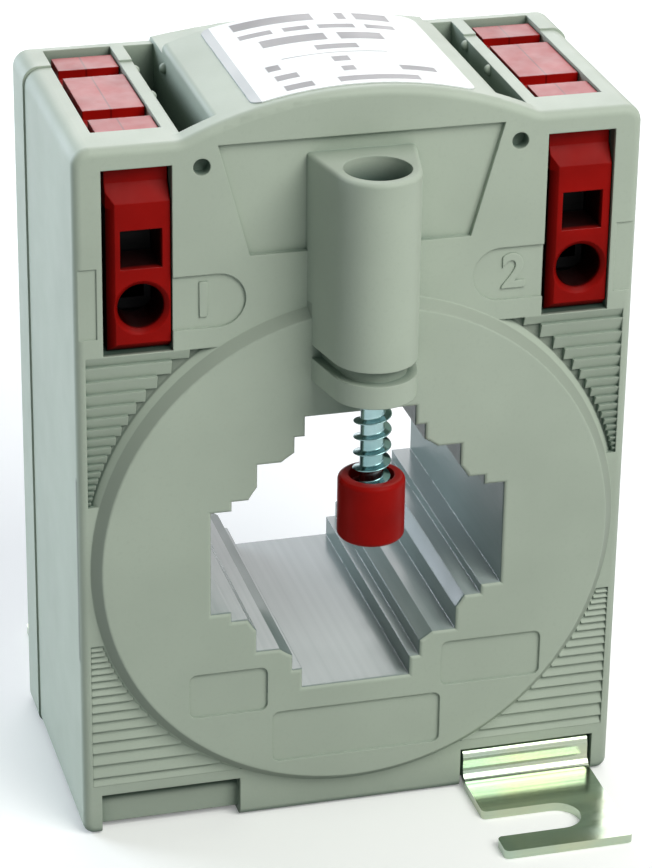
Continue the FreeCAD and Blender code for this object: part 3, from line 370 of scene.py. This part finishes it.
def housing_plastic():
    """Light grey-green moulded plastic, darker where the housing's own form shades it."""
    s = Shader("housing_plastic")
    base = (0.46, 0.52, 0.44, 1)
    tunnel = in_tunnel(s)
    outside = s.math("SUBTRACT", 1.0, tunnel)
    cloud = s.remap(s.noise(70, 3), 0.35, 0.65)
    speck = s.remap(s.noise(2600, 2), 0.55, 0.8, 0.0, 0.35)
    tone = s.blend(speck, s.blend(cloud, shade(base, 0.955), shade(base, 1.03)), shade(base, 0.9))
    # Painted shade on the walls of the window's tunnel
    tone = s.blend(s.times(tunnel, 0.85), tone, tunnel_shade_tone(s))
    # Painted shade: the housing's walls inside the terminal openings are made nearly black
    tone = s.blend(opening_shade(s), tone, shade(base, 0.05))
    # Painted shade on the floor of the moat round the disc, and on the disc's flank
    tone = s.blend(shaded_ring(s, *MOAT_SHADE), tone, shade(base, 0.55))
    tone = s.blend(shaded_ring(s, *FLANK_SHADE), tone, shade(base, 0.74))
    # Painted shade in holes, channels and where walls meet, outside the tunnel
    tone = s.blend(s.times(s.corners(7 * MM), outside), tone, (0.09, 0.15, 0.12, 1))
    # Painted shade inside the screw's bore
    tone = s.blend(bore_shade(s), tone, (0.06, 0.10, 0.085, 1))
    sheen = s.remap(s.noise(240, 2), 0.3, 0.7, 0.40, 0.50)
    # The bevel is left out at the seam inside the tunnel, where the two shells are flush
    _, y, _ = s.split(s.place())
    joint = s.times(tunnel, s.between(y, SEAM - 0.6 * MM, SEAM + 0.6 * MM, 0.02 * MM))
    rounding = s.remap(joint, 0.0, 1.0, 0.18 * MM, 0.0)
    grain = s.bump(s.noise(5200, 2), 0.02 * MM, 0.3, s.soft_edges(rounding))
    return s.complete(
        Base_Color=tone,
        Roughness=s.math("SUBTRACT", sheen, s.times(tunnel, 0.24)),
        # Specular strength rises on faces that look up: a painted sheen on the tops
        Specular_IOR_Level=s.math("ADD", s.times(s.upward(), 0.35), 0.15),
        Normal=s.bump(s.noise(110, 1), 0.05 * MM, 0.15, grain),
    )


def red_plastic():
    """Dark red satin plastic, with painted shade that makes it nearly black deep in the entries,
    and a line on the tops.
    """
    s = Shader("red_plastic")
    base = (0.30, 0.0045, 0.003, 1)
    x, _, z = s.split(s.place())
    tone = s.blend(s.remap(s.noise(160, 3), 0.3, 0.7), shade(base, 0.8), shade(base, 1.15))
    # Painted shade: the entries are made nearly black deep behind the front
    low = s.math("LESS_THAN", z, ENTRY_HEIGHTS[1])
    high = s.math("GREATER_THAN", z, ENTRY_HEIGHTS[0])
    deep_entry_shade = s.times(low, s.recess(*ENTRY_SHADE))
    tone = s.blend(s.times(deep_entry_shade, high), tone, shade(base, 0.04))
    middle = sum(OPENING_SIDES) / 2
    line = s.between(s.math("ABSOLUTE", x), middle - LINE_HALF, middle + LINE_HALF, LINE_SOFT)
    line = s.times(line, s.math("GREATER_THAN", z, BLOCK_TOP))
    tone = s.blend(s.times(line, 0.7), tone, shade(base, 0.25))
    return s.complete(
        Base_Color=tone,
        Roughness=s.remap(s.noise(500, 2), 0.3, 0.7, 0.34, 0.46),
        # Specular strength rises on faces that look up: a painted sheen on the block tops
        Specular_IOR_Level=s.remap(s.upward(), 0.0, 1.0, 0.06, 0.75),
        Normal=s.bump(s.noise(3000, 2), 0.02 * MM, 0.3, s.soft_edges(0.2 * MM)),
    )


def metal(name, base, tint, roughness, streak, streak_height):
    """Plated metal with drawn streaks and a slight change of tint."""
    s = Shader(name)
    lines = s.noise(1.0, 3, s.stretched(streak))
    tone = s.blend(s.remap(s.noise(120, 4), 0.35, 0.65), base, tint)
    grain = s.bump(lines, streak_height * MM, 0.5)
    return s.complete(
        Base_Color=s.blend(s.remap(lines, 0.45, 0.75, 0.0, 0.3), tone, shade(base, 0.7)),
        Roughness=s.remap(lines, 0.3, 0.7, *roughness),
        Metallic=1.0,
        Normal=s.bump(s.noise(900, 2), 0.01 * MM, 0.3, grain),
    )


def dull(name, base, roughness):
    """Plain inner plastic, tape or jacket."""
    s = Shader(name)
    return s.complete(
        Base_Color=s.blend(s.remap(s.noise(300, 2), 0.3, 0.7), shade(base, 0.85),
                           shade(base, 1.1)),
        Roughness=s.remap(s.noise(800, 2), 0.3, 0.7, roughness - 0.05, roughness + 0.05),
        Normal=s.bump(s.noise(2500, 2), 0.02 * MM, 0.3),
    )


def label_film():
    """Pale film with a grey border and plain dark bars where the print is."""
    s = Shader("label_film")
    x, y, _ = s.split(s.place())
    behind = s.math("SUBTRACT", y, FRONT)
    ink = None
    for row, height, bars in PRINT_ROWS:
        line = s.between(behind, (row - height / 2) * MM, (row + height / 2) * MM, PRINT_SOFT)
        for start, end in bars:
            bar = s.times(line, s.between(x, start * MM, end * MM, PRINT_SOFT))
            ink = bar if ink is None else s.math("MAXIMUM", ink, bar)
    paper = s.blend(s.remap(s.noise(90, 2), 0.3, 0.7), (0.74, 0.77, 0.78, 1),
                    (0.79, 0.82, 0.83, 1))
    paper = s.blend(s.math("LESS_THAN", x, LABEL_BORDER), paper, (0.36, 0.40, 0.41, 1))
    return s.complete(
        Base_Color=s.blend(ink, paper, (0.06, 0.065, 0.07, 1)),
        Roughness=s.remap(s.noise(200, 2), 0.3, 0.7, 0.28, 0.4),
        Specular_IOR_Level=0.9,
        Normal=s.bump(s.noise(60, 1), 0.05 * MM, 0.3),
    )


def make_materials():
    """One material for each slot."""
    materials = {
        "housing_plastic": housing_plastic(),
        "red_plastic": red_plastic(),
        "label_film": label_film(),
    }
    for slot, name, *look in METALS:
        materials[slot] = metal(name, *look)
    for name, tone, roughness in DULL_MATERIALS:
        materials[name] = dull(name, tone, roughness)
    return materials


def dress_nodes(materials):
    for subpart in frame["record"]["subparts"]:
        slots = nodes[subpart["node"]].data.materials
        slots.clear()
        slots.append(materials[subpart["material_slot"]])


def new_piece(name, mesh, material, body):
    obj = bpy.data.objects.new(name, mesh)
    bpy.context.scene.collection.objects.link(obj)
    obj.data.materials.append(material)
    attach(obj, body)
    return obj


def mesh_from(bm, name):
    mesh = bpy.data.meshes.new(name)
    bm.to_mesh(mesh)
    bm.free()
    return mesh


def thread_rows(bm, axis, bottom, seat):
    """Rows of points that climb round the shaft, with the thread fading out at the tip."""
    turns = math.ceil((seat - bottom) / THREAD_PITCH) + 1
    rows = []
    for turn in range(turns):
        for along, share in THREAD_PROFILE:
            row = []
            for column in range(THREAD_COLUMNS):
                angle = 2 * math.pi * column / THREAD_COLUMNS
                z = bottom + (turn - 1 + along + column / THREAD_COLUMNS) * THREAD_PITCH
                fade = min(1.0, max(0.0, (z - bottom) / THREAD_PITCH))
                radius = (THREAD_ROOT - THREAD_TAPER * (1 - fade)
                          + (THREAD_CREST - THREAD_ROOT) * share * fade)
                row.append(bm.verts.new((axis.x + radius * math.cos(angle),
                                         axis.y + radius * math.sin(angle),
                                         min(max(z, bottom), seat))))
            rows.append(row)
    return rows


def close_thread(bm, rows):
    """Faces between the rows, and from each row's end to its start one turn higher."""
    for lower, upper in zip(rows, rows[1:]):
        for k in range(THREAD_COLUMNS - 1):
            bm.faces.new((lower[k], lower[k + 1], upper[k + 1], upper[k]))
    turn = len(THREAD_PROFILE)
    for k in range(len(rows) - turn - 1):
        bm.faces.new((rows[k][-1], rows[k + turn][0], rows[k + turn + 1][0], rows[k + 1][-1]))
    bmesh.ops.remove_doubles(bm, verts=bm.verts, dist=SMALLEST_EDGE)
    bmesh.ops.dissolve_degenerate(bm, edges=bm.edges, dist=SMALLEST_EDGE)
    bmesh.ops.holes_fill(bm, edges=bm.edges)
    bmesh.ops.recalc_face_normals(bm, faces=bm.faces)


def head_profile(radius):
    """Radius and height of each ring of the head, from its foot to the middle of its crown."""
    profile = [(radius * HEAD_FOOT_RADIUS, 0.0), (radius, HEAD_FOOT_HEIGHT),
               (radius, HEAD_HEIGHT * HEAD_SIDE)]
    for k in range(1, HEAD_EDGE_STEPS + 1):
        angle = k / HEAD_EDGE_STEPS * math.pi / 2
        profile.append((radius - HEAD_EDGE * (1 - math.cos(angle)),
                        HEAD_HEIGHT * HEAD_SIDE + HEAD_HEIGHT * HEAD_SHOULDER * math.sin(angle)))
    for share in HEAD_CROWN_RINGS:
        rise = HEAD_CROWN + (1 - HEAD_CROWN) * (1 - share * share)
        profile.append((radius * share, HEAD_HEIGHT * rise))
    return profile


def recess_drop(x, y, z):
    """How far the cross recess presses a point of the head down."""
    along_x = abs(x) < RECESS_ARM and abs(y) < RECESS_HALF
    along_y = abs(y) < RECESS_ARM and abs(x) < RECESS_HALF
    pressed = z > HEAD_HEIGHT * RECESS_START and (along_x or along_y)
    return RECESS_DEPTH if pressed else 0.0


def add_screw_head(bm, axis, seat, radius):
    """Pan head: a turned form with a rounded edge and a cross recess pressed in."""
    rings = []
    for ring_radius, z in head_profile(radius):
        ring = []
        for k in range(HEAD_SEGMENTS):
            angle = 2 * math.pi * k / HEAD_SEGMENTS
            x, y = ring_radius * math.cos(angle), ring_radius * math.sin(angle)
            ring.append(bm.verts.new((axis.x + x, axis.y + y, seat + z - recess_drop(x, y, z))))
        rings.append(ring)
    for lower, upper in zip(rings, rings[1:]):
        for k in range(HEAD_SEGMENTS):
            n = (k + 1) % HEAD_SEGMENTS
            bm.faces.new((lower[k], lower[n], upper[n], upper[k]))
    bm.faces.new(reversed(rings[0]))
    bm.faces.new(rings[-1])


def threaded_screw(material):
    """The clamping screw with its real thread, in the place of the plain one."""
    low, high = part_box("clamp_screw")
    seat = high.z - HEAD_HEIGHT
    bm = bmesh.new()
    close_thread(bm, thread_rows(bm, SCREW_AXIS, low.z, seat))
    add_screw_head(bm, SCREW_AXIS, seat, (high.x - low.x) / 2)
    for face in bm.faces:
        face.smooth = True
    mesh = mesh_from(bm, "clamp_screw_threaded")
    screw = new_piece("clamp_screw_threaded", mesh, material, "screw")
    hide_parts("clamp_screw")


def add_rib(bm, side, inner, near, far):
    """One rib as a bar whose front face slants, on one side of the disc."""
    upper, lower = WINDOW_CENTRE.z - near, WINDOW_CENTRE.z - far
    section = ((RIB_DEPTH - RIB_PROUD_DEEP, upper), (-RIB_PROUD_FRONT, lower),
               (MOAT_DEPTH, lower), (MOAT_DEPTH, upper))
    ends = []
    for x in (side * inner, side * RIB_OUTER_END):
        ends.append([bm.verts.new((x, FRONT + depth, z)) for depth, z in section])
    for k in range(4):
        n = (k + 1) % 4
        bm.faces.new((ends[0][k], ends[0][n], ends[1][n], ends[1][k]))
    bm.faces.new(reversed(ends[0]))
    bm.faces.new(ends[1])


def lower_ribs(material):
    """Faces of the lower ribs, which run on up to the disc."""
    first, last = LOWER_RIBS
    ratio = (last / first) ** (1 / (RIB_COUNT - 1))
    offsets = [first * ratio ** k for k in range(RIB_COUNT)] + [last + RIB_TAIL]
    bm = bmesh.new()
    for near, far in zip(offsets, offsets[1:]):
        inner = math.sqrt(DISC_RADIUS ** 2 - far ** 2) + RIB_DISC_GAP
        for side in (-1, 1):
            add_rib(bm, side, inner, near, far)
    bmesh.ops.recalc_face_normals(bm, faces=bm.faces)
    mesh = mesh_from(bm, "lower_ribs")
    new_piece("lower_ribs", mesh, material, "housing")


def raised_number(text, x, material):
    """A plain raised number on a terminal pad."""
    curve = bpy.data.curves.new("number_" + text, "FONT")
    curve.body = text
    curve.size = NUMBER_SIZE
    curve.extrude = 0.1 * MM
    curve.bevel_depth = 0.05 * MM
    curve.bevel_resolution = 2
    curve.offset = 0.12 * MM
    curve.align_x = "CENTER"
    curve.align_y = "CENTER"
    holder = bpy.data.objects.new("number_holder", curve)
    bpy.context.scene.collection.objects.link(holder)
    bpy.context.view_layer.update()
    shaped = holder.evaluated_get(bpy.context.evaluated_depsgraph_get())
    mesh = bpy.data.meshes.new_from_object(shaped)
    bpy.data.objects.remove(holder)
    turn = Matrix.Rotation(math.pi / 2, 4, "X")
    place = (x, FRONT + PAD_DEPTH - NUMBER_RISE, NUMBER_HEIGHT)
    mesh.transform(Matrix.Translation(place) @ turn)
    mesh.materials.clear()
    new_piece("terminal_number_" + text, mesh, material, "housing")


def add_camera():
    """Camera at the photograph's viewing angle."""
    forward = Vector((
        -math.sin(AZIMUTH) * math.cos(ELEVATION),
        math.cos(AZIMUTH) * math.cos(ELEVATION),
        -math.sin(ELEVATION),
    ))
    level = forward.cross(Vector((0, 0, 1))).normalized()
    upright = level.cross(forward)
    right = level * math.cos(ROLL) + upright * math.sin(ROLL)
    up = upright * math.cos(ROLL) - level * math.sin(ROLL)
    data = bpy.data.cameras.new("camera")
    data.lens = LENS
    data.sensor_width = SENSOR
    data.clip_start = 0.01
    data.clip_end = 20
    camera = bpy.data.objects.new("camera", data)
    axes = Matrix((right, up, -forward)).transposed()
    camera.matrix_world = Matrix.Translation(TARGET - forward * DISTANCE) @ axes.to_4x4()
    bpy.context.scene.collection.objects.link(camera)
    bpy.context.scene.camera = camera


def add_world():
    """Soft light from all round, and pure white where the camera sees past the object."""
    world = bpy.data.worlds.new("studio")
    world.use_nodes = True
    graph = Graph(world.node_tree)
    soft = graph.tree.nodes["Background"]
    graph.feed(soft.inputs["Color"], SKY_COLOR)
    graph.feed(soft.inputs["Strength"], SKY_STRENGTH)
    white = graph.node("Background", Color=(1, 1, 1, 1), Strength=1.0)
    mix = graph.node("MixShader")
    graph.feed(mix.inputs[0], graph.seen_directly())
    graph.feed(mix.inputs[1], soft.outputs[0])
    graph.feed(mix.inputs[2], white.outputs[0])
    graph.feed(graph.tree.nodes["World Output"].inputs["Surface"], mix.outputs[0])
    bpy.context.scene.world = world


def add_floor():
    """White floor, whose own glow grows with the distance from the object."""
    half = FLOOR_HALF
    mesh = bpy.data.meshes.new("floor")
    mesh.from_pydata([(-half, -half, 0), (half, -half, 0), (half, half, 0), (-half, half, 0)],
                     [], [(0, 1, 2, 3)])
    floor = bpy.data.objects.new("floor", mesh)
    bpy.context.scene.collection.objects.link(floor)
    s = Shader("floor")
    x, y, _ = s.split(s.place())
    glow = s.remap(s.math("SQRT", s.squares(x, y)), *FLOOR_GLOW_REACH, 0.2, 1.0)
    floor.data.materials.append(s.complete(
        Base_Color=s.blend(s.seen_directly(), (0.40, 0.41, 0.40, 1), (0.93, 0.93, 0.93, 1)),
        Emission_Strength=s.times(s.seen_directly(), glow),
        Emission_Color=(1, 1, 1, 1),
        Roughness=0.9,
    ))
    floor.location.z = -FLOOR_DROP


def add_lamp(name, direction, distance, size, power, color):
    """Soft area lamp that looks at the object from a direction."""
    data = bpy.data.lights.new(name, "AREA")
    data.shape = "DISK"
    data.size = size
    data.energy = power
    data.color = color
    lamp = bpy.data.objects.new(name, data)
    way = Vector(direction).normalized()
    lamp.location = LAMP_AIM + way * distance
    lamp.rotation_mode = "QUATERNION"
    lamp.rotation_quaternion = way.to_track_quat("Z", "Y")
    bpy.context.scene.collection.objects.link(lamp)


def main():
    materials = make_materials()
    dress_nodes(materials)
    threaded_screw(materials["blue_zinc_steel"])
    lower_ribs(materials["housing_plastic"])
    for text, side in NUMBERS:
        raised_number(text, side * NUMBER_SIDE, materials["housing_plastic"])
    add_camera()
    add_floor()
    add_world()
    for lamp in LAMPS:
        add_lamp(*lamp)
    bpy.context.scene.view_settings.view_transform = "Standard"


main()
